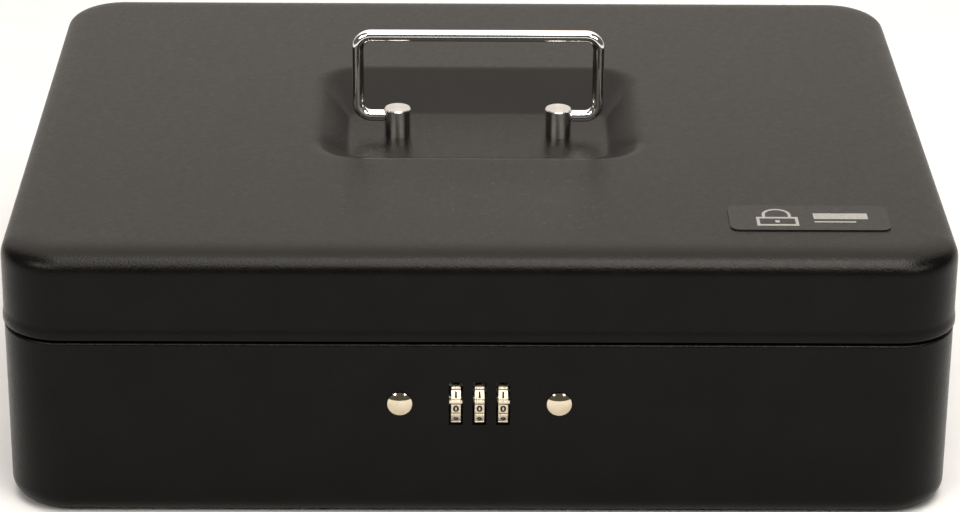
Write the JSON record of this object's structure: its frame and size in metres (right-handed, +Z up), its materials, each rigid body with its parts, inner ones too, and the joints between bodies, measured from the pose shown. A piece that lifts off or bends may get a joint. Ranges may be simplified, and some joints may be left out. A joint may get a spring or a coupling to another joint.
{
  "type": "locking cash box",
  "caption": "Black steel cash box with a hinged lid, a folding wire handle in a recess, a number-dial lock between two sliding latch buttons, and a lift-out coin tray.",
  "frame": {"origin": "middle of the underside, where the box stands", "axes": "+X to the right seen from the front, +Y to the rear (hinge side), +Z up; the dials are on the -Y side"},
  "size_m": [0.3008, 0.2427, 0.1186],
  "materials": {
    "black_coat": "satin black powder coat on steel",
    "bright_chrome": "polished",
    "zinc_steel": "zinc plated",
    "dial_nickel": "polished warm nickel with dark digits",
    "plate_black": "satin",
    "black_plastic": "fine grain"
  },
  "bodies": {
    "base": {"base_shell": "black_coat", "lock_case": "zinc_steel", "lock_cover": "black_coat", "cover_screws": "zinc_steel", "lock_studs": "zinc_steel", "lock_nuts": "zinc_steel", "dial_axle": "zinc_steel", "axle_spacer": "zinc_steel", "detent_spring": "zinc_steel", "hinge_base_leaf_left": "zinc_steel", "hinge_base_leaf_right": "zinc_steel", "hinge_pin_left": "zinc_steel", "hinge_pin_right": "zinc_steel", "hinge_base_rivets": "zinc_steel", "tray_ledge_left": "black_coat", "tray_ledge_right": "black_coat"},
    "lid": {"lid_shell": "black_coat", "hinge_lid_leaf_left": "zinc_steel", "hinge_lid_leaf_right": "zinc_steel", "hinge_lid_rivets": "zinc_steel", "lid_strike": "zinc_steel", "handle_post_left": "bright_chrome", "handle_post_right": "bright_chrome", "post_screws": "zinc_steel", "post_washers": "zinc_steel", "name_plate": "plate_black"},
    "handle": {"handle_bail": "bright_chrome"},
    "dial_left": {"dial_left": "dial_nickel", "code_wheel_left": "black_plastic"},
    "dial_middle": {"dial_middle": "dial_nickel", "code_wheel_middle": "black_plastic"},
    "dial_right": {"dial_right": "dial_nickel", "code_wheel_right": "black_plastic"},
    "latch_left": {"latch_button_left": "bright_chrome", "latch_slide_left": "zinc_steel"},
    "latch_right": {"latch_button_right": "bright_chrome", "latch_slide_right": "zinc_steel"},
    "reset_lever": {"reset_lever": "zinc_steel"},
    "coin_tray": {"coin_tray": "black_plastic"}
  },
  "joints": [
    {"name": "lid_hinge", "type": "hinge", "parent": "base", "child": "lid", "pos_m": [0, 0.11575, 0.0566], "axis": [-1, 0, 0], "range_deg": [0, 97]},
    {"name": "handle_pivot", "type": "hinge", "parent": "lid", "child": "handle", "pos_m": [0, 0.0049, 0.0877], "axis": [1, 0, 0], "range_deg": [-90, 90]},
    {"name": "latch_left_slide", "type": "slide", "parent": "base", "child": "latch_left", "axis": [1, 0, 0], "range_m": [0, 0.0023]},
    {"name": "latch_right_slide", "type": "slide", "parent": "base", "child": "latch_right", "axis": [-1, 0, 0], "range_m": [0, 0.0023]},
    {"name": "reset_lever_slide", "type": "slide", "parent": "base", "child": "reset_lever", "axis": [1, 0, 0], "range_m": [0, 0.004]},
    {"name": "tray_lift", "type": "slide", "parent": "base", "child": "coin_tray", "axis": [0, 0, 1], "range_m": [0, 0.017]},
    {"name": "dial_left_turn", "type": "hinge", "parent": "base", "child": "dial_left", "pos_m": [-0.0074, -0.1147, 0.03905], "axis": [1, 0, 0], "continuous": true},
    {"name": "dial_middle_turn", "type": "hinge", "parent": "base", "child": "dial_middle", "pos_m": [0, -0.1147, 0.03905], "axis": [1, 0, 0], "continuous": true},
    {"name": "dial_right_turn", "type": "hinge", "parent": "base", "child": "dial_right", "pos_m": [0.0074, -0.1147, 0.03905], "axis": [1, 0, 0], "continuous": true}
  ]
}
